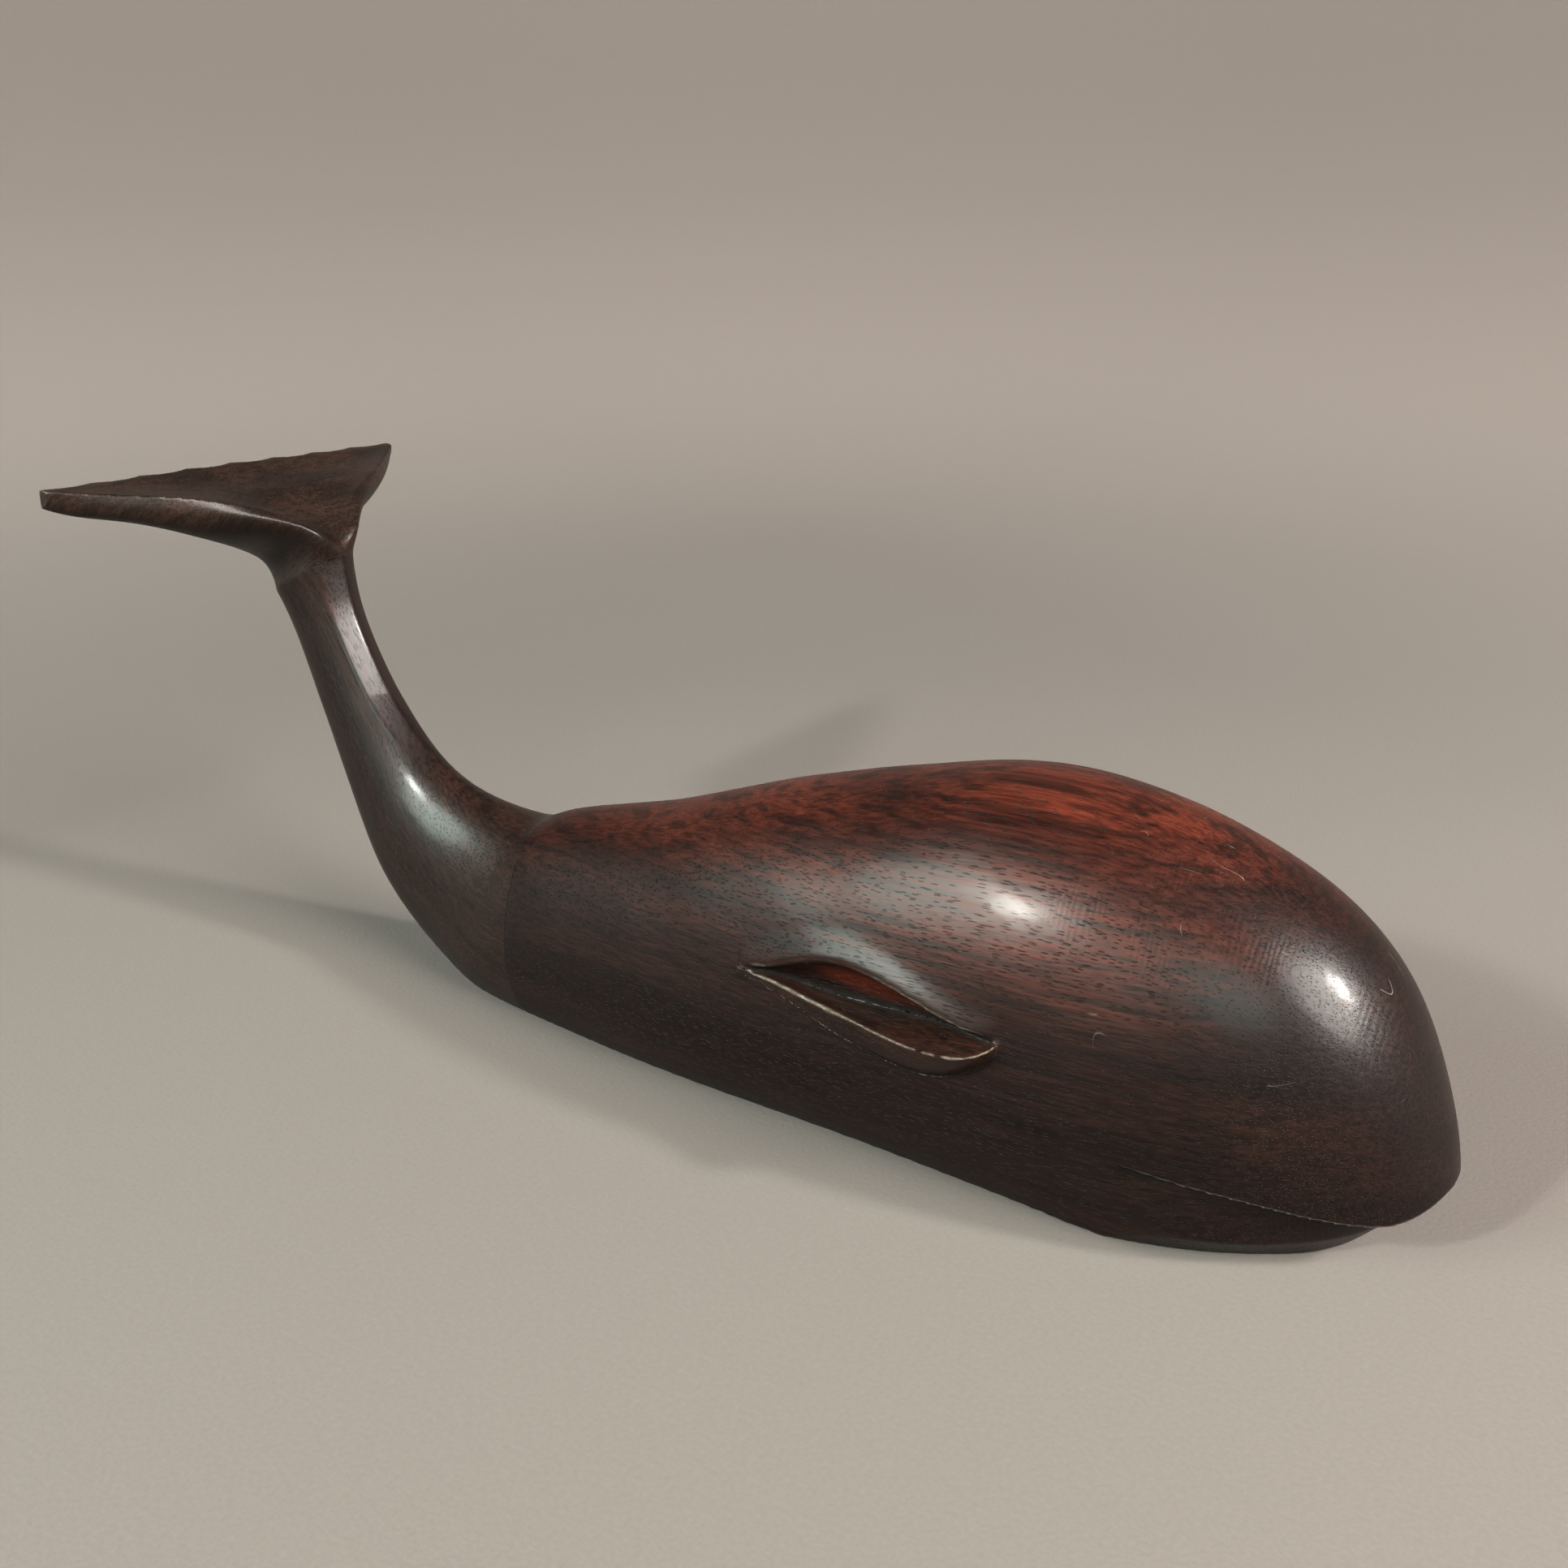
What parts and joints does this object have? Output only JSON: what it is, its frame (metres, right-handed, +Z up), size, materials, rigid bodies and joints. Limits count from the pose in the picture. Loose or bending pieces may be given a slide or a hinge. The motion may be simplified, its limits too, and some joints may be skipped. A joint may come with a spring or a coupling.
{
  "type": "whale figurine",
  "caption": "Carved dark hardwood whale resting on its flat-cut belly, with a blunt head, side fins let into the body, and an upswept tail with spread flukes.",
  "frame": {"origin": "on the floor, on the flat cut under the belly, in the whale's middle plane and halfway along its length", "axes": "+X towards the snout, +Y to the whale's left, +Z up"},
  "size_m": [0.36, 0.1256, 0.1416],
  "materials": {
    "body_wood": "satin, hand polished",
    "tail_wood": "satin, hand polished",
    "fluke_wood": "satin, hand polished",
    "fin_wood": "satin, hand polished",
    "dowel_wood": "plain, hidden in the joints"
  },
  "bodies": {
    "root": {"body": "body_wood", "tail_stock": "tail_wood", "flukes": "fluke_wood", "right_fin": "fin_wood", "left_fin": "fin_wood", "tail_dowel_upper": "dowel_wood", "tail_dowel_lower": "dowel_wood", "fluke_dowel_front": "dowel_wood", "fluke_dowel_rear": "dowel_wood"}
  },
  "joints": []
}
